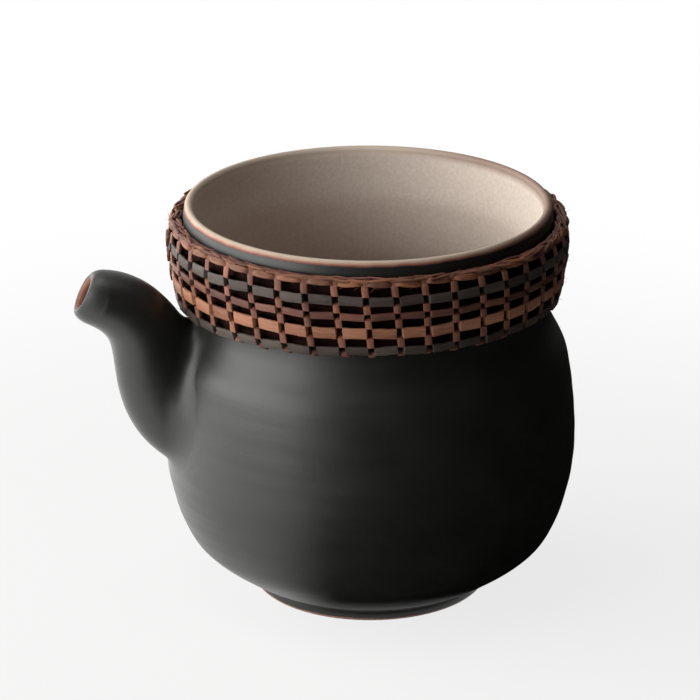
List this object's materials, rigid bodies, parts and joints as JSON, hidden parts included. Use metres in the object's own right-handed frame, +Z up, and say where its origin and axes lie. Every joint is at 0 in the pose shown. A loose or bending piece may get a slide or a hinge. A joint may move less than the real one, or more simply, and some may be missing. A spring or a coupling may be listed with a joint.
{
  "type": "tea pitcher",
  "caption": "Open round-bellied stoneware tea pitcher with a foot ring, an S-curved tube spout and a woven splint heat guard round its neck.",
  "frame": {"origin": "on the table plane under the middle of the pitcher's overall length; the pot's axis is at x = +0.01161", "axes": "+Z up along the pot's axis, the spout points along -X"},
  "size_m": [0.1232, 0.1, 0.0976],
  "materials": {
    "black_stoneware": "matte black glaze",
    "tan_splint": "dry tan bark splint",
    "red_splint": "dry red-brown bark splint",
    "dark_splint": "dry grey-brown bark splint",
    "stake_splint": "dry pinkish bark splint"
  },
  "bodies": {
    "root": {"vessel": "black_stoneware", "spout": "black_stoneware", "hoop_top": "tan_splint", "hoop_upper": "dark_splint", "hoop_middle": "red_splint", "hoop_lower": "tan_splint", "hoop_bottom": "dark_splint", "lining_top": "red_splint", "lining_bottom": "red_splint", "stake_01": "stake_splint", "stake_02": "stake_splint", "stake_03": "stake_splint", "stake_04": "stake_splint", "stake_05": "stake_splint", "stake_06": "stake_splint", "stake_07": "stake_splint", "stake_08": "stake_splint", "stake_09": "stake_splint", "stake_10": "stake_splint", "stake_11": "stake_splint", "stake_12": "stake_splint", "stake_13": "stake_splint", "stake_14": "stake_splint", "stake_15": "stake_splint", "stake_16": "stake_splint", "stake_17": "stake_splint", "stake_18": "stake_splint", "stake_19": "stake_splint", "stake_20": "stake_splint", "stake_21": "stake_splint", "stake_22": "stake_splint", "stake_23": "stake_splint", "stake_24": "stake_splint", "stake_25": "stake_splint", "stake_26": "stake_splint", "stake_27": "stake_splint", "stake_28": "stake_splint", "stake_29": "stake_splint", "stake_30": "stake_splint", "stake_31": "stake_splint", "stake_32": "stake_splint", "stake_33": "stake_splint", "stake_34": "stake_splint", "stake_35": "stake_splint", "stake_36": "stake_splint", "stake_37": "stake_splint", "stake_38": "stake_splint", "stake_39": "stake_splint", "stake_40": "stake_splint", "stake_41": "stake_splint", "stake_42": "stake_splint"}
  },
  "joints": []
}
